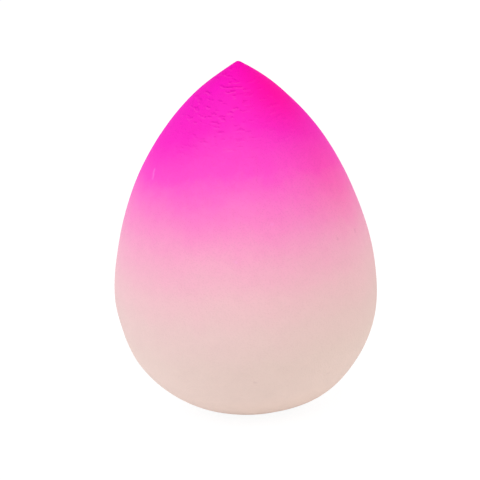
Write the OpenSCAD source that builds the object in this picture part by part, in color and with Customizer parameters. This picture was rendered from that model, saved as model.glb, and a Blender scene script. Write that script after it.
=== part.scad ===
// Teardrop make-up sponge, standing tip up.
// One block of soft, open-cell foam, ground to a teardrop and dip-dyed from the tip down.
// It is cut here into the zones that behave differently in the hand: a rounded foot that dabs,
// a belly that squashes, a shoulder that the fingers hold, a neck that bends and a fine tip.

/* [Teardrop] */
// Height from the flat under the foot to the tip
height = 60; // [52:1:75]
// Diameter of the belly, where the sponge is widest
belly_d = 44; // [38:1:49]
// Height of the widest place above the flat
belly_h = 19.5; // [17:0.5:22]
// Diameter of the flat that the sponge stands on
foot_d = 11; // [8:0.5:18]
// Radius of the rounding at the very tip
tip_r = 0.8; // [0.4:0.1:3]

/* [Zones] */
// Height of the foam that squashes, half of it below the widest place
squash_h = 22; // [16:1:28]
// Height of the foam that bends when the tip is pushed aside
bend_h = 9; // [8:0.5:12]
// Height of the firm tip above it
tip_h = 9; // [6:0.5:10]

/* [Hidden] */
$fn = 180;

// Three arcs make the half outline: the cheek from the flat up to the belly, the long side
// from the belly up, and the rounding of the tip. Cheek and side both pass the belly upright.
belly_r = belly_d / 2;
foot_r = foot_d / 2;

// Cheek: centred level with the belly, through the edge of the flat
cheek_r = (pow(belly_r - foot_r, 2) + pow(belly_h, 2)) / (2 * (belly_r - foot_r));
cheek_x = belly_r - cheek_r;

// Tip rounding: a ball on the axis that touches the top
tip_z = height - tip_r;

// Side: centred level with the belly, with the tip's ball touching it from inside
side_rise = tip_z - belly_h;
side_r = (pow(belly_r, 2) + pow(side_rise, 2) - pow(tip_r, 2)) / (2 * (belly_r - tip_r));
side_x = belly_r - side_r;

// Direction in which the side hands over to the tip's ball, seen from the side's centre
handover_angle = atan2(side_rise, -side_x);

// Heights of the cuts between the zones
squash_low_z = belly_h - squash_h / 2;
squash_top_z = belly_h + squash_h / 2;
bend_top_z = height - tip_h;
bend_mid_z = bend_top_z - bend_h / 2;
bend_low_z = bend_top_z - bend_h;

// Reaches past every arc of the outline
reach = 2 * (side_r + cheek_r);

// The half plane that lies clockwise of a line through a point
module clockwise_of(point, angle)
    translate(point)
        rotate(angle)
            translate([-reach, -reach]) square([2 * reach, reach]);

// Outline below the widest place
module lower_outline()
    translate([cheek_x, belly_h]) circle(r = cheek_r);

// Outline above the widest place
module upper_outline() {
    intersection() {
        translate([side_x, belly_h]) circle(r = side_r);
        clockwise_of([side_x, belly_h], handover_angle);
    }
    translate([0, tip_z]) circle(r = tip_r);
}

// One zone of the foam: the slice of a half outline between two heights, turned about the axis
module foam_zone(low_z, high_z)
    rotate_extrude()
        intersection() {
            children();
            translate([0, low_z]) square([reach, high_z - low_z]);
        }

// Rounded foot that dabs, undyed
module base() color("#E1C8BC") foam_zone(0, squash_low_z) lower_outline();

// Lower half of the squash zone, up to the widest place
module belly() color("#EAC6C1") foam_zone(squash_low_z, belly_h) lower_outline();

// Upper half of the squash zone, where the pink sets in
module waist() color("#F6B9CA") foam_zone(belly_h, squash_top_z) upper_outline();

// Band that the fingers hold
module shoulder() color("#FC92C8") foam_zone(squash_top_z, bend_low_z) upper_outline();

// Lower half of the bend zone
module neck_lower() color("#FC5CCA") foam_zone(bend_low_z, bend_mid_z) upper_outline();

// Upper half of the bend zone
module neck_upper() color("#FE41CA") foam_zone(bend_mid_z, bend_top_z) upper_outline();

// Fine tip, dyed deepest
module tip() color("#FC26C5") foam_zone(bend_top_z, height) upper_outline();

base();
belly();
waist();
shoulder();
neck_lower();
neck_upper();
tip();
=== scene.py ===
# Teardrop makeup sponge, dip-dyed foam, standing tip up on a white table
import math
import bpy
from mathutils import Matrix, Vector


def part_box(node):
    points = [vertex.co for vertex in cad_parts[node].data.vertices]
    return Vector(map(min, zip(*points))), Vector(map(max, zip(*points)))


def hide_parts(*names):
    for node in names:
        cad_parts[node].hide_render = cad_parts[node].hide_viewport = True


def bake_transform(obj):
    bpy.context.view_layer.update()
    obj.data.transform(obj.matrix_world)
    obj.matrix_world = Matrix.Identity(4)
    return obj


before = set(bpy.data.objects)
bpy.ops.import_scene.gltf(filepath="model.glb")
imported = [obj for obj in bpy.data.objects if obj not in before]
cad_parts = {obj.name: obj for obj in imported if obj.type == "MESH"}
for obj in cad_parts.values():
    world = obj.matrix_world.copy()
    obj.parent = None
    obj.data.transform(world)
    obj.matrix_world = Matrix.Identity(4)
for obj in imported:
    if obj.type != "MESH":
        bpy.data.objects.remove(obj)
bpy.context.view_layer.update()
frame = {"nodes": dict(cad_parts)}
print("frame loaded:", ", ".join(frame["nodes"]))

millimetre = 0.001
photoPixels = 480  # the photo is square


def addNode(tree, kind, feeds=(), **settings):  # feeds: values or nodes, by socket's place or name
    node = tree.nodes.new(kind)
    for name, value in settings.items():
        setattr(node, name, value)
    shown = [socket for socket in node.inputs if socket.enabled]
    for key, value in feeds.items() if isinstance(feeds, dict) else enumerate(feeds):
        socket = shown[key] if isinstance(key, int) else next(s for s in shown if s.name == key)
        if isinstance(value, bpy.types.Node):
            value = next(output for output in value.outputs if output.enabled)
        if isinstance(value, bpy.types.NodeSocket):
            tree.links.new(value, socket)
        elif value is not None:
            socket.default_value = value
    return node


def linearColour(code):  # "#rrggbb" in sRGB to linear with alpha
    shares = [int(code[i:i + 2], 16) / 255 for i in (1, 3, 5)]
    return [s / 12.92 if s <= 0.04045 else ((s + 0.055) / 1.055) ** 2.4 for s in shares] + [1.0]


# Camera: a long lens looking down a little, leaning as the photographer held it
cameraSetup = {
    "lens": 200,  # mm
    "sensor": 36,
    "distance": 0.447,
    "elevation": 20,  # degrees above the table
    "target": (0, 0, 0.028),
    "roll": -2.34,
    "shiftPixels": (-4.5, 4.8),
}


def placeCamera(setup):
    elevation = math.radians(setup["elevation"])
    back = Vector((0, -math.cos(elevation), math.sin(elevation)))
    data = bpy.data.cameras.new("photoCamera")
    data.lens = setup["lens"]
    data.sensor_width = setup["sensor"]
    data.shift_x, data.shift_y = (pixels / photoPixels for pixels in setup["shiftPixels"])
    camera = bpy.data.objects.new("photoCamera", data)
    roll = Matrix.Rotation(math.radians(setup["roll"]), 3, "Z")
    turn = back.to_track_quat("Z", "Y").to_matrix() @ roll
    place = Matrix.Translation(Vector(setup["target"]) + back * setup["distance"])
    camera.matrix_world = place @ turn.to_4x4()
    bpy.context.scene.collection.objects.link(camera)
    bpy.context.scene.camera = camera


placeCamera(cameraSetup)
print("camera placed")


# Outline: the same three arcs as the solids have, worked out in mm from the frame's own boxes
tipRounding = 0.8
flatLimit = 1e-6  # metres, points below it are on the flat under the foot


def measureOutline():
    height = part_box("tip")[1].z / millimetre
    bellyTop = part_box("belly")[1]
    bellyRadius, bellyHeight = bellyTop.x / millimetre, bellyTop.z / millimetre
    resting = [v.co for v in frame["nodes"]["base"].data.vertices if v.co.z < flatLimit]
    overhang = bellyRadius - max(math.hypot(co.x, co.y) for co in resting) / millimetre
    cheekRadius = (overhang ** 2 + bellyHeight ** 2) / (2 * overhang)
    tipCentre = height - tipRounding
    rise = tipCentre - bellyHeight
    sideRadius = (bellyRadius ** 2 + rise ** 2 - tipRounding ** 2) / (2 * (bellyRadius - tipRounding))
    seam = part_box("waist")[1].z / millimetre
    return {
        "height": height, "bellyRadius": bellyRadius, "bellyHeight": bellyHeight, "seam": seam,
        "cheekRadius": cheekRadius, "sideRadius": sideRadius, "tipCentre": tipCentre,
        "footArc": -cheekRadius * math.asin(bellyHeight / cheekRadius),  # arc lengths from the belly
        "seamArc": sideRadius * math.asin((seam - bellyHeight) / sideRadius),
        "tipArc": sideRadius * math.atan2(rise, sideRadius - bellyRadius),
    }


outline = measureOutline()
print("outline measured, mm:", {name: round(size, 2) for name, size in outline.items()})

# Foam surface as the grinding left it, in mm
foamSurface = {
    "Segments": 360,
    "Skin Rows": 250,
    "Cap Rings": 10,
    "Swell Depth": 0.06,  # slow unevenness of the ground outline
    "Swell Size": 11.0,
    "Ripple Depth": 0.04,  # chatter marks round the tip
    "Ripple Lip": 0.1,  # mm above and below, whose ripple levels set the painted shade on their upper lip and the painted highlight on their lower lip
    "Ripple Spacing": 0.37,
    "Ripple Length": 1.5,
    "Ripple Start": 44.0,  # heights between which they grow to full depth
    "Ripple Full": 55.0,
    "Ripple Deep": 0.33,  # noise levels from a dent's floor to the flat between dents
    "Ripple Flat": 0.43,
    "Ripple Side": (-0.5, -0.87, 0.0),  # they lie thickest on this side
    "Ripple Side Edge": 0.65,  # cosines of the angle off it over which they thicken
    "Ripple Side Core": 0.92,
    "Ripple Elsewhere": 0.35,  # share of their depth on the other sides
    "Ripple Patch": 11.0,  # and come and go in patches
    "Patch Seed": 18.7,
    "Patch Edge": 0.4,  # noise levels over which a patch sets in
    "Patch Core": 0.55,
    "Between Patches": 0.15,  # share of their depth there
    "Grain Depth": 0.015,
    "Grain Size": 0.7,
    "Fullness": 0.15,  # the side bulges past its arc below the tip
    "Fullness Start": 43.0,
    "Fullness Top": 54.0,
    "Tip Lean": (0.17, 0.0, 0.0),  # the tip stands a hair off the axis
    "Tip Lean Start": 53.0,
    "Calm Foot": 0.1,  # the relief grows from here up, so that the foot stays flat
    "Calm Foot Top": 1.5,
    "Calm Tip": 2.0,  # and fades within this distance of the axis, so that the tip stays smooth
}

# Places ground fuller than round, or flatter (below 0): how much, reach and centre, in mm
foamBulges = {
    "Shoulder": (-0.22, 14.0, (17.5, 0.0, 36.0)),  # right
    "Heel": (0.3, 10.0, (12.0, -7.5, 3.0)),
    "Nose": (0.1, 6.0, (4.0, 0.0, 56.5)),
    "Brow": (0.1, 12.0, (-15.0, 3.0, 42.0)),  # left
    "Flank": (0.2, 7.5, (-22.0, 0.0, 21.5)),
    "Jaw": (-0.16, 6.0, (-20.8, -3.6, 14.8)),
}
for place, bulge in foamBulges.items():
    for measure, value in zip(("Rise", "Reach", "Centre"), bulge):
        foamSurface[f"{place} {measure}"] = value

# Small marks that use and handling left: a path of (degrees round from the front, height in mm),
# how deep it is pressed in, and how much paler (above 0) or darker it is
# the darker ones, pores and creases, are painted shade in their hollows
foamMarks = {
    "nick": ([(-66.8, 43.9), (-66.4, 43.4), (-65.0, 43.1), (-64.6, 42.7)], 0.06, 0.2),
    "upperCrease": ([(10.7, 47.2), (9.7, 45.7), (8.8, 44.2)], 0.03, -0.05),
    "middleCrease": ([(-5.0, 43.9), (-5.2, 43.1), (-6.0, 42.7)], 0.02, -0.04),
    "lowerCrease": ([(-5.0, 40.2), (-5.0, 38.4)], 0.03, -0.04),
    "scuff": ([(-12.0, 48.8), (-9.5, 48.6), (-6.5, 48.7)], 0.02, 0.03),
    "leftPore": ([(-18.1, 46.5), (-17.8, 46.5)], 0.04, -0.08),
    "middlePore": ([(-2.8, 46.5), (-2.6, 46.4)], 0.04, -0.06),
    "paleSpeck": ([(14.0, 37.8), (14.6, 37.8)], 0.0, 0.11),
    "secondPaleSpeck": ([(29.3, 36.6), (29.8, 36.6)], 0.0, 0.07),
    "lowPaleSpeck": ([(-4.5, 32.5), (-4.0, 32.4)], 0.0, 0.12),
    "pore": ([(65.3, 33.0), (65.3, 32.6)], 0.05, -0.22),
    "secondPore": ([(49.0, 33.2), (49.4, 33.0)], 0.05, -0.15),
    "footPore": ([(2.0, 11.5), (2.5, 11.4)], 0.05, -0.12),
    "lowPore": ([(40.3, 10.4), (40.8, 10.4)], 0.04, -0.08),
}


def skinPoint(azimuth, height):  # on the undented outline, in mm
    radius = outline["cheekRadius"] if height < outline["bellyHeight"] else outline["sideRadius"]
    rise = height - outline["bellyHeight"]
    out = outline["bellyRadius"] - radius + math.sqrt(radius ** 2 - rise ** 2)
    turn = math.radians(azimuth)
    return (out * math.sin(turn), -out * math.cos(turn), height)


def drawMarks(marks):
    points, lines, depths, tones = [], [], [], []
    for path, depth, tone in marks.values():
        lines += [(len(points) + i, len(points) + i + 1) for i in range(len(path) - 1)]
        points += [skinPoint(*spot) for spot in path]
        depths += [depth] * (len(path) - 1)
        tones += [tone] * (len(path) - 1)
    mesh = bpy.data.meshes.new("foamMarks")
    mesh.from_pydata(points, lines, [])
    mesh.attributes.new("depth", "FLOAT", "EDGE").data.foreach_set("value", depths)
    mesh.attributes.new("tone", "FLOAT", "EDGE").data.foreach_set("value", tones)
    return bpy.data.objects.new("foamMarks", mesh)  # read by the tree, never shown


def foamTree(settings):  # a rod's side becomes the skin, its ends the seam, the foot and the tip
    tree = bpy.data.node_groups.new("groundFoam", "GeometryNodeTree")
    kinds = {bool: "Bool", int: "Int", float: "Float", tuple: "Vector"}
    for label, value in settings.items():
        kind = kinds.get(type(value)) or type(value).__name__
        tree.interface.new_socket(name=label, in_out="INPUT", socket_type="NodeSocket" + kind)
    tree.interface.new_socket(name="Foam", in_out="OUTPUT", socket_type="NodeSocketGeometry")
    given = addNode(tree, "NodeGroupInput").outputs

    rod = addNode(tree, "GeometryNodeMeshCylinder", {
        "Vertices": given["Segments"], "Side Segments": given["Skin Rows"],
        "Fill Segments": given["Cap Rings"], "Radius": 1.0, "Depth": 1.0}, fill_type="TRIANGLE_FAN")
    at = addNode(tree, "ShaderNodeSeparateXYZ", [addNode(tree, "GeometryNodeInputPosition")]).outputs
    level = addNode(tree, "ShaderNodeCombineXYZ", [at["X"], at["Y"]])
    around = addNode(tree, "ShaderNodeVectorMath", [level], operation="NORMALIZE")
    share = addNode(tree, "ShaderNodeVectorMath", [level], operation="LENGTH")  # 1 on the skin

    # skin: a place along the arcs, below or above the belly, with rows closer towards the top
    climb = addNode(tree, "ShaderNodeMath", [at["Z"], 0.5], operation="ADD")  # 0 to 1 up the rod
    left = addNode(tree, "ShaderNodeMath", [1.0, climb], operation="SUBTRACT")
    crowd = addNode(tree, "ShaderNodeMath", [left, given["Row Crowding"], 1.0], operation="MULTIPLY_ADD")
    crowded = addNode(tree, "ShaderNodeMath", [climb, crowd], operation="MULTIPLY")
    arc = addNode(tree, "ShaderNodeMapRange", [
        crowded, 0.0, 1.0, given["Lower Arc"], given["Upper Arc"]])
    below = addNode(tree, "ShaderNodeMath", [arc, 0.0], operation="LESS_THAN")
    radius = addNode(tree, "ShaderNodeMapRange", [
        below, 0.0, 1.0, given["Side Radius"], given["Cheek Radius"]])
    angle = addNode(tree, "ShaderNodeMath", [arc, radius], operation="DIVIDE")
    inset = addNode(tree, "ShaderNodeMath", [given["Belly Radius"], radius], operation="SUBTRACT")
    skinOut = addNode(tree, "ShaderNodeMath", [
        radius, addNode(tree, "ShaderNodeMath", [angle], operation="COSINE"), inset],
        operation="MULTIPLY_ADD")
    skinUp = addNode(tree, "ShaderNodeMath", [
        radius, addNode(tree, "ShaderNodeMath", [angle], operation="SINE"), given["Belly Height"]],
        operation="MULTIPLY_ADD")
    capOut = addNode(tree, "ShaderNodeMath", [skinOut, share], operation="MULTIPLY")

    # tip: the rod's upper end closes over a ball
    atTop = addNode(tree, "ShaderNodeMath", [at["Z"], 0.4999], operation="GREATER_THAN")
    onBall = addNode(tree, "ShaderNodeMath", [atTop, given["Rounded Tip"]], operation="MULTIPLY")
    ballAngle = addNode(tree, "ShaderNodeMapRange", [share, 1.0, 0.0, angle, math.pi / 2])
    ballOut = addNode(tree, "ShaderNodeMath", [
        given["Tip Rounding"], addNode(tree, "ShaderNodeMath", [ballAngle], operation="COSINE")],
        operation="MULTIPLY")
    ballUp = addNode(tree, "ShaderNodeMath", [
        given["Tip Rounding"], addNode(tree, "ShaderNodeMath", [ballAngle], operation="SINE"),
        given["Tip Centre"]], operation="MULTIPLY_ADD")
    out = addNode(tree, "ShaderNodeMapRange", [onBall, 0.0, 1.0, capOut, ballOut])
    up = addNode(tree, "ShaderNodeMapRange", [onBall, 0.0, 1.0, skinUp, ballUp])
    lean = addNode(tree, "ShaderNodeMapRange", [onBall, 0.0, 1.0, angle, ballAngle])
    place = addNode(tree, "ShaderNodeVectorMath", [
        around, out, addNode(tree, "ShaderNodeCombineXYZ", [0.0, 0.0, up])], operation="MULTIPLY_ADD")
    aside = addNode(tree, "ShaderNodeMapRange", [
        up, given["Tip Lean Start"], given["Tip Centre"]], interpolation_type="SMOOTHSTEP")
    place = addNode(tree, "ShaderNodeVectorMath", [given["Tip Lean"], aside, place],
                    operation="MULTIPLY_ADD")
    outwardUp = addNode(tree, "ShaderNodeCombineXYZ", [
        0.0, 0.0, addNode(tree, "ShaderNodeMath", [lean], operation="SINE")])
    outward = addNode(tree, "ShaderNodeVectorMath", [
        around, addNode(tree, "ShaderNodeMath", [lean], operation="COSINE"), outwardUp],
        operation="MULTIPLY_ADD")

    # relief: swells, grain, chatter ripples that lie level, and the bulges
    reliefs = []
    for name, detail in (("Swell", 1.0), ("Grain", 2.0)):
        scale = addNode(tree, "ShaderNodeMath", [1.0, given[name + " Size"]], operation="DIVIDE")
        noise = addNode(tree, "ShaderNodeTexNoise", {"Vector": place, "Scale": scale, "Detail": detail})
        reliefs.append((noise, given[name + " Depth"]))
    stretch = addNode(tree, "ShaderNodeCombineXYZ", [
        given["Ripple Length"], given["Ripple Length"], given["Ripple Spacing"]])
    lift = addNode(tree, "ShaderNodeCombineXYZ", [0.0, 0.0, given["Ripple Lip"]])
    ripples = []
    for side in (-1.0, 0.0, 1.0):  # just below each place, at it and just above it
        there = addNode(tree, "ShaderNodeVectorMath", [lift, (side, side, side), place],
                        operation="MULTIPLY_ADD")
        there = addNode(tree, "ShaderNodeVectorMath", [there, stretch], operation="DIVIDE")
        ripple = addNode(tree, "ShaderNodeTexNoise", {"Vector": there, "Scale": 1.0, "Detail": 1.0})
        ripples.append(addNode(tree, "ShaderNodeMapRange", [
            ripple, given["Ripple Deep"], given["Ripple Flat"]], interpolation_type="SMOOTHSTEP"))
    beneath, ripple, above = ripples
    rising = addNode(tree, "ShaderNodeMapRange", [
        up, given["Ripple Start"], given["Ripple Full"]], interpolation_type="SMOOTHSTEP")
    patchScale = addNode(tree, "ShaderNodeMath", [1.0, given["Ripple Patch"]], operation="DIVIDE")
    patches = addNode(tree, "ShaderNodeTexNoise", {
        "Vector": place, "W": given["Patch Seed"], "Scale": patchScale, "Detail": 1.0},
        noise_dimensions="4D")
    patchy = addNode(tree, "ShaderNodeMapRange", [
        patches, given["Patch Edge"], given["Patch Core"], given["Between Patches"], 1.0],
        interpolation_type="SMOOTHSTEP")
    turned = addNode(tree, "ShaderNodeVectorMath", [around, given["Ripple Side"]],
                     operation="DOT_PRODUCT").outputs["Value"]
    sided = addNode(tree, "ShaderNodeMapRange", [
        turned, given["Ripple Side Edge"], given["Ripple Side Core"], given["Ripple Elsewhere"], 1.0],
        interpolation_type="SMOOTHSTEP")
    strength = addNode(tree, "ShaderNodeMath", [rising, patchy], operation="MULTIPLY")
    strength = addNode(tree, "ShaderNodeMath", [strength, sided], operation="MULTIPLY")
    reliefs.append((ripple, addNode(tree, "ShaderNodeMath", [strength, given["Ripple Depth"]],
                                    operation="MULTIPLY")))
    paintedLipLight = addNode(tree, "ShaderNodeMath", [beneath, above], operation="SUBTRACT")  # painted light: 1 on the lower lip
    paintedLipLight = addNode(tree, "ShaderNodeMath", [paintedLipLight, strength], operation="MULTIPLY")  # and painted shade, -1, on the upper
    relief = None
    for name in foamBulges:
        away = addNode(tree, "ShaderNodeVectorMath", [place, given[name + " Centre"]],
                       operation="DISTANCE")
        rise = addNode(tree, "ShaderNodeMapRange", [
            away, 0.0, given[name + " Reach"], given[name + " Rise"], 0.0],
            interpolation_type="SMOOTHSTEP")
        relief = addNode(tree, "ShaderNodeMath", [rise, relief], operation="ADD") if relief else rise
    fuller = addNode(tree, "ShaderNodeMapRange", [
        up, given["Fullness Start"], given["Fullness Top"], 0.0, given["Fullness"]],
        interpolation_type="SMOOTHSTEP")
    closing = addNode(tree, "ShaderNodeMapRange", [
        up, given["Fullness Top"], given["Tip Centre"], 1.0, 0.0], interpolation_type="SMOOTHSTEP")
    relief = addNode(tree, "ShaderNodeMath", [fuller, closing, relief], operation="MULTIPLY_ADD")
    for noise, depth in reliefs:
        centred = addNode(tree, "ShaderNodeMath", [noise, 2.0, -1.0], operation="MULTIPLY_ADD")
        relief = addNode(tree, "ShaderNodeMath", [centred, depth, relief], operation="MULTIPLY_ADD")

    # marks: pressed in and toned within their width; the darker tones are painted shade
    marks = addNode(tree, "GeometryNodeObjectInfo", [given["Marks"]]).outputs["Geometry"]
    gap = addNode(tree, "GeometryNodeProximity", {"Geometry": marks, "Sample Position": place},
                  target_element="EDGES").outputs["Distance"]
    touch = addNode(tree, "ShaderNodeMapRange", [gap, 0.0, given["Mark Width"], 1.0, 0.0],
                    interpolation_type="SMOOTHSTEP")
    nearest = addNode(tree, "GeometryNodeSampleNearest", [marks, place], domain="EDGE")
    pressed, toned = (
        addNode(tree, "ShaderNodeMath", [touch, addNode(tree, "GeometryNodeSampleIndex", {
            "Geometry": marks, "Index": nearest,
            "Value": addNode(tree, "GeometryNodeInputNamedAttribute", [name], data_type="FLOAT")},
            data_type="FLOAT", domain="EDGE")], operation="MULTIPLY")
        for name in ("depth", "tone"))
    relief = addNode(tree, "ShaderNodeMath", [relief, pressed], operation="SUBTRACT")
    calmFoot = addNode(tree, "ShaderNodeMapRange", [
        up, given["Calm Foot"], given["Calm Foot Top"]], interpolation_type="SMOOTHSTEP")
    calmTip = addNode(tree, "ShaderNodeMapRange", [
        out, 0.0, given["Calm Tip"]], interpolation_type="SMOOTHSTEP")
    onSkin = addNode(tree, "ShaderNodeMath", [share, 0.999], operation="GREATER_THAN")
    inSight = addNode(tree, "ShaderNodeMath", [onSkin, onBall], operation="MAXIMUM")
    for fade in (calmFoot, calmTip, inSight):
        relief = addNode(tree, "ShaderNodeMath", [relief, fade], operation="MULTIPLY")
    raised = addNode(tree, "ShaderNodeVectorMath", [outward, relief, place], operation="MULTIPLY_ADD")
    metres = addNode(tree, "ShaderNodeVectorMath", {0: raised, "Scale": millimetre}, operation="SCALE")

    # the dye and the cells follow the foam, so its resting place in mm goes with the mesh
    placed = addNode(tree, "GeometryNodeStoreNamedAttribute", {
        "Geometry": rod, "Name": "foamPlace", "Value": place}, data_type="FLOAT_VECTOR", domain="POINT")
    # the marks' tones, paler or painted shade, go with it too
    marked = addNode(tree, "GeometryNodeStoreNamedAttribute", {
        "Geometry": placed, "Name": "markTone", "Value": toned}, data_type="FLOAT", domain="POINT")
    # the painted shade and highlight on the ripples' lips go with the mesh too
    paintedLightStored = addNode(tree, "GeometryNodeStoreNamedAttribute", {
        "Geometry": marked, "Name": "rippleTone", "Value": paintedLipLight}, data_type="FLOAT", domain="POINT")
    nearSeam = addNode(tree, "ShaderNodeMath", [at["Z"], given["Seam End"], 0.001], operation="COMPARE")
    onRim = addNode(tree, "ShaderNodeMath", [nearSeam, onSkin], operation="MULTIPLY")
    rimmed = addNode(tree, "GeometryNodeStoreNamedAttribute", {
        "Geometry": paintedLightStored, "Name": "sharp_edge", "Value": onRim}, data_type="BOOLEAN", domain="EDGE")
    shaped = addNode(tree, "GeometryNodeSetPosition", {"Geometry": rimmed, "Position": metres})
    real = addNode(tree, "GeometryNodeRealizeInstances", [shaped])
    dyed = addNode(tree, "GeometryNodeSetMaterial", {"Geometry": real, "Material": given["Foam"]})
    addNode(tree, "NodeGroupOutput", [dyed])
    return tree


# Dip-dyed open-cell polyurethane foam, moulded as a block and ground to shape: soft and velvety, with
# no gloss, cells near 0.2 mm across, and a dye that soaked up level and fades over the belly
foamFinish = {
    "dye": [  # height in mm and colour
        (0, "#fbe4d6"), (8, "#ecd6cb"), (14, "#e7cfc5"), (20, "#e7c8c3"), (26, "#ecbec3"),
        (32, "#f0a8c2"), (38, "#f384c1"), (44, "#f54fc1"), (50, "#f22abc"), (56, "#ee14b9"),
        (60, "#ea04ae")],
    "sideSoak": 2.6,  # mm of painted light: the colour is set this much deeper at the two sides and paler at the front and back, as a soft reflection on the front would show
    "paintedSideStart": 36,  # heights between which that sets in
    "sideSoakFull": 50,
    "paintedSideCore": 3,  # mm from the axis within which it fades out again
    "dipLean": 0.042,  # mm for each mm to the right, since it was dipped a little off upright
    "rightSideShades": [  # painted warm shade, redder and deeper on the right side: centre and reach in mm, tint and share
        ((7.0, -2.2, 56.5), 11, "#ff0098", 0.75),
        ((16.0, -6.5, 43.0), 14, "#ff6078", 0.19)],
    "bleedSize": 9,  # mm, unevenness of the dye's edge
    "bleedDepth": 2.6,
    "bleedSeed": 160.0,
    "bleedRoughness": 0.75,
    "paintedLipShadeTint": "#f0c6ef",  # painted shade on the dents' upper lip, as relief lit from above would show
    "paintedLipHighlightShare": 0.016,  # painted highlight: a trace of white on their lower lip
    "mottleSize": 2.2,  # mm, patches that took the dye differently
    "mottleShare": 0.009,
    "cellSize": 0.32,  # mm, drawn coarser than the real cells so that they show
    "cellDepth": 0.028,
    "cellWall": (0.1, 0.5),  # cell sizes from its middle over which it brightens
    "cellShade": (0.01, 0.09),  # share of light lost in an open cell, at the foot and at the tip
    "cellRoughness": 0.86,  # in its middle, and 1 at its wall
    "fuzzSize": 0.9,
    "fuzzDepth": 0.024,
    "paleTint": "#ffb6ff",  # of the marks
    # painted shade in the pores and creases
    "shadeTint": "#8a4a6a",
    "shader": {  # almost no gloss and a faint velvet
        "IOR": 1.45, "Specular IOR Level": 0.03, "Diffuse Roughness": 0.3,
        "Sheen Weight": 0.025, "Sheen Roughness": 0.5},
}


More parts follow.
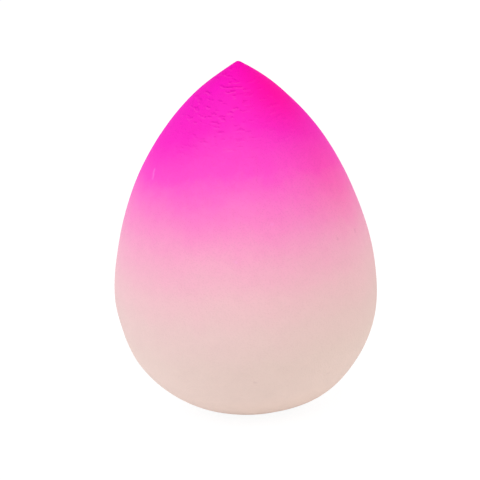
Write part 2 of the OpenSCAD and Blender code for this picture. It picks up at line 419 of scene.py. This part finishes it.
def dyeFoam(finish):
    material = bpy.data.materials.new("dipDyedFoam")
    material.use_nodes = True
    tree = material.node_tree
    shader = tree.nodes["Principled BSDF"]
    place = addNode(tree, "ShaderNodeAttribute", attribute_name="foamPlace").outputs["Vector"]
    along = addNode(tree, "ShaderNodeSeparateXYZ", [place]).outputs
    up = along["Z"]

    # painted light: the colour is set deeper at the left and right and paler at the front and back, as a
    # soft reflection on the front would show
    across, ahead = (
        addNode(tree, "ShaderNodeMath", [along[axis], 2.0], operation="POWER") for axis in "XY")
    core = addNode(tree, "ShaderNodeMath", [ahead, finish["paintedSideCore"] ** 2], operation="ADD")
    outSquared = addNode(tree, "ShaderNodeMath", [across, core], operation="ADD")
    sides = addNode(tree, "ShaderNodeMath", [ahead, across], operation="SUBTRACT")
    sides = addNode(tree, "ShaderNodeMath", [sides, outSquared], operation="DIVIDE")  # 1 front, -1 sides
    reach = addNode(tree, "ShaderNodeMapRange", [
        up, finish["paintedSideStart"], finish["sideSoakFull"], 0.0, -finish["sideSoak"]],
        interpolation_type="SMOOTHSTEP")
    dyeHeightWithSideShade = addNode(tree, "ShaderNodeMath", [sides, reach, up], operation="MULTIPLY_ADD")
    dyeHeightWithSideShade = addNode(tree, "ShaderNodeMath", [along["X"], -finish["dipLean"], dyeHeightWithSideShade],
                       operation="MULTIPLY_ADD")
    bleed = addNode(tree, "ShaderNodeTexNoise", {
        "Vector": place, "W": finish["bleedSeed"], "Scale": 1 / finish["bleedSize"], "Detail": 5.0,
        "Roughness": finish["bleedRoughness"]}, noise_dimensions="4D")
    shift = addNode(tree, "ShaderNodeMapRange", [
        bleed, 0.0, 1.0, -finish["bleedDepth"], finish["bleedDepth"]])
    wandering = addNode(tree, "ShaderNodeMath", [dyeHeightWithSideShade, shift], operation="ADD")
    # the dye's height, with the painted side shade in it
    dyeShareWithSideShade = addNode(tree, "ShaderNodeMapRange", [wandering, 0.0, outline["height"]])
    ramp = addNode(tree, "ShaderNodeValToRGB", [dyeShareWithSideShade])
    stops = ramp.color_ramp.elements
    for height, code in finish["dye"]:
        share = height / finish["dye"][-1][0]
        stop = {0: stops[0], 1: stops[-1]}.get(share) or stops.new(share)
        stop.color = linearColour(code)

    dyed = ramp
    # painted warm shade on the right side, redder towards the tip
    for centre, reach, tint, share in finish["rightSideShades"]:
        away = addNode(tree, "ShaderNodeVectorMath", [place, centre], operation="DISTANCE")
        rightShade = addNode(tree, "ShaderNodeMapRange", [away, 0.0, reach, share, 0.0],
                       interpolation_type="SMOOTHSTEP")
        dyed = addNode(tree, "ShaderNodeMix", [rightShade, dyed, linearColour(tint)], data_type="RGBA")

    mottle = addNode(tree, "ShaderNodeTexNoise", {
        "Vector": place, "Scale": 1 / finish["mottleSize"], "Detail": 4.0})
    tone = addNode(tree, "ShaderNodeMapRange", [
        mottle, 0.3, 0.7, 1 - finish["mottleShare"], 1 + finish["mottleShare"]])
    cells = addNode(tree, "ShaderNodeTexVoronoi", {"Vector": place, "Scale": 1 / finish["cellSize"]})
    openTone = addNode(tree, "ShaderNodeMapRange", [
        dyeShareWithSideShade, 0.0, 1.0, *(1 - shade for shade in finish["cellShade"])])
    cellTone = addNode(tree, "ShaderNodeMapRange", [cells, *finish["cellWall"], openTone, 1.0])
    tone = addNode(tree, "ShaderNodeMath", [tone, cellTone], operation="MULTIPLY")
    mottled = addNode(tree, "ShaderNodeMix", [1.0, dyed, tone], data_type="RGBA", blend_type="MULTIPLY")

    # painted shade on the ripples' upper lips and a painted highlight of white on their lower lips
    paintedLipLight = addNode(tree, "ShaderNodeAttribute", attribute_name="rippleTone").outputs["Fac"]
    paintedLipShade = addNode(tree, "ShaderNodeMath", [paintedLipLight, -1.0], operation="MULTIPLY")
    mottled = addNode(tree, "ShaderNodeMix", [paintedLipShade, mottled, linearColour(finish["paintedLipShadeTint"])],
                      data_type="RGBA", blend_type="MULTIPLY")
    paintedLipHighlight = addNode(tree, "ShaderNodeMath", [paintedLipLight, finish["paintedLipHighlightShare"]], operation="MULTIPLY")
    mottled = addNode(tree, "ShaderNodeMix", [paintedLipHighlight, mottled, (1, 1, 1, 1)], data_type="RGBA")

    mark = addNode(tree, "ShaderNodeAttribute", attribute_name="markTone").outputs["Fac"]
    paled = addNode(tree, "ShaderNodeMix", [mark, mottled, linearColour(finish["paleTint"])],
                    data_type="RGBA")
    # painted shade in the pores and creases
    shade = addNode(tree, "ShaderNodeMath", [mark, -1.0], operation="MULTIPLY")
    shaded = addNode(tree, "ShaderNodeMix", [shade, paled, linearColour(finish["shadeTint"])],
                     data_type="RGBA")
    tree.links.new(shaded.outputs[2], shader.inputs["Base Color"])

    fuzz = addNode(tree, "ShaderNodeTexNoise", {
        "Vector": place, "Scale": 1 / finish["fuzzSize"], "Detail": 4.0})
    dull = addNode(tree, "ShaderNodeMapRange", [cells, 0.0, 1.0, finish["cellRoughness"], 1.0])
    tree.links.new(dull.outputs[0], shader.inputs["Roughness"])
    bump = None
    for pattern, depth in ((fuzz, finish["fuzzDepth"]), (cells, finish["cellDepth"])):
        bump = addNode(tree, "ShaderNodeBump", {
            "Strength": 1.0, "Distance": depth * millimetre, "Height": pattern, "Normal": bump})
    tree.links.new(bump.outputs[0], shader.inputs["Normal"])
    for socket, value in finish["shader"].items():
        shader.inputs[socket].default_value = value
    return material


foamMaterial = dyeFoam(foamFinish)
print("foam dyed")

# The two halves of the foam meet where the squash ends, inside the waist's upper cut
foamPieces = {
    "foamBelly": {"Lower Arc": outline["footArc"], "Upper Arc": outline["seamArc"],
                  "Seam End": 0.5, "Rounded Tip": False, "Row Crowding": 0.0},
    "foamCrown": {"Lower Arc": outline["seamArc"], "Upper Arc": outline["tipArc"],
                  "Seam End": -0.5, "Rounded Tip": True, "Row Crowding": 0.45},
}
foamSizes = {
    "Belly Radius": outline["bellyRadius"], "Belly Height": outline["bellyHeight"],
    "Cheek Radius": outline["cheekRadius"], "Side Radius": outline["sideRadius"],
    "Tip Rounding": tipRounding, "Tip Centre": outline["tipCentre"],
    "Mark Width": 0.35, "Marks": drawMarks(foamMarks), "Foam": foamMaterial,
}


def cutFoam(name, tree, values):
    holder = bpy.data.objects.new(name + "Holder", bpy.data.meshes.new(name + "Holder"))
    bpy.context.scene.collection.objects.link(holder)
    modifier = holder.modifiers.new("groundFoam", "NODES")
    modifier.node_group = tree
    for item in tree.interface.items_tree:
        if item.in_out == "INPUT":
            modifier[item.identifier] = values[item.name]
    graph = bpy.context.evaluated_depsgraph_get()
    mesh = bpy.data.meshes.new_from_object(holder.evaluated_get(graph), depsgraph=graph)
    mesh.name = name
    bpy.data.objects.remove(holder)
    piece = bpy.data.objects.new(name, mesh)
    bpy.context.scene.collection.objects.link(piece)
    print(name, "cut:", len(mesh.vertices), "points,", len(mesh.polygons), "faces")
    return piece


foamValues = {name: {**foamSurface, **foamSizes, **ends} for name, ends in foamPieces.items()}
groundFoam = foamTree(foamValues["foamBelly"])
foamBelly, foamCrown = (cutFoam(name, groundFoam, values) for name, values in foamValues.items())

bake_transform(foamBelly)
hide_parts("base", "belly", "waist")
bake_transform(foamCrown)
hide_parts("shoulder", "neck_lower", "neck_upper", "tip")
print("foam fitted to the bodies")


# Table: matt white paper that reads white to the camera and still takes the sponge's soft shadow.
# The glow is just over 1 because the paper's own share of the mix is dimmer than that.
tablePaper = {"width": 3.0, "gap": 0.00005, "colour": "#f2f2f2", "whiteShare": 0.85, "glow": 1.08}


def layTable(paper):
    half = paper["width"] / 2
    mesh = bpy.data.meshes.new("table")
    corners = [(-half, -half), (half, -half), (half, half), (-half, half)]
    mesh.from_pydata([(x, y, -paper["gap"]) for x, y in corners], [], [(0, 1, 2, 3)])
    table = bpy.data.objects.new("table", mesh)
    bpy.context.scene.collection.objects.link(table)
    material = bpy.data.materials.new("whitePaper")
    material.use_nodes = True
    tree = material.node_tree
    tree.nodes.clear()
    seen = addNode(tree, "ShaderNodeLightPath").outputs["Is Camera Ray"]
    whitened = addNode(tree, "ShaderNodeMath", [seen, paper["whiteShare"]], operation="MULTIPLY")
    matt = addNode(tree, "ShaderNodeBsdfDiffuse", {"Color": linearColour(paper["colour"])})
    glow = addNode(tree, "ShaderNodeEmission", {"Color": (1, 1, 1, 1), "Strength": paper["glow"]})
    face = addNode(tree, "ShaderNodeMixShader", [whitened, matt, glow])
    under = addNode(tree, "ShaderNodeNewGeometry").outputs["Backfacing"]
    clear = addNode(tree, "ShaderNodeBsdfTransparent")  # so that the foot can be seen from below
    addNode(tree, "ShaderNodeOutputMaterial", [
        addNode(tree, "ShaderNodeMixShader", [under, face, clear])])
    mesh.materials.append(material)


layTable(tablePaper)

# Lamps: big soft boxes all round, each at a share of full daylight level on what faces it
softBoxes = {
    "leftBox": {"azimuth": -60, "elevation": 30, "level": 0.5, "colour": "#ecf1ff"},
    "rightBox": {"azimuth": 60, "elevation": 30, "level": 0.3, "colour": "#ffffff"},
    "topBox": {"azimuth": 0, "elevation": 75, "level": 0.28, "colour": "#fffaf8"},
    "backBox": {"azimuth": 180, "elevation": 25, "level": 0.16, "colour": "#ffffff"},
}
boxDistance, boxWidth = 0.6, 0.5
skyLevel = 0.54


def hangLamps(boxes):
    centre = Vector((0, 0, outline["height"] / 2 * millimetre))
    for name, box in boxes.items():
        azimuth, elevation = math.radians(box["azimuth"]), math.radians(box["elevation"])
        away = Vector((math.sin(azimuth) * math.cos(elevation),
                       -math.cos(azimuth) * math.cos(elevation), math.sin(elevation)))
        data = bpy.data.lights.new(name, "AREA")
        data.size = boxWidth
        data.energy = box["level"] * math.pi ** 2 * boxDistance ** 2  # watts for that level
        data.color = linearColour(box["colour"])[:3]
        lamp = bpy.data.objects.new(name, data)
        lamp.visible_camera = False
        lamp.matrix_world = Matrix.Translation(centre + away * boxDistance) @ away.to_track_quat(
            "Z", "Y").to_matrix().to_4x4()
        bpy.context.scene.collection.objects.link(lamp)


def lightSky(level):
    world = bpy.data.worlds.new("studio")
    bpy.context.scene.world = world
    world.use_nodes = True
    tree = world.node_tree
    tree.nodes.clear()
    path = addNode(tree, "ShaderNodeLightPath").outputs
    seen = path["Is Camera Ray"]  # white to the eye and in reflections, dimmer as light
    for ray in ("Is Glossy Ray", "Is Transmission Ray"):
        seen = addNode(tree, "ShaderNodeMath", [seen, path[ray]], operation="MAXIMUM")
    strength = addNode(tree, "ShaderNodeMapRange", [seen, 0.0, 1.0, level, 1.0])
    sky = addNode(tree, "ShaderNodeBackground", {"Color": (1, 1, 1, 1), "Strength": strength})
    addNode(tree, "ShaderNodeOutputWorld", [sky])


hangLamps(softBoxes)
lightSky(skyLevel)
bpy.context.scene.view_settings.view_transform = "Standard"
print("table laid and lamps hung")
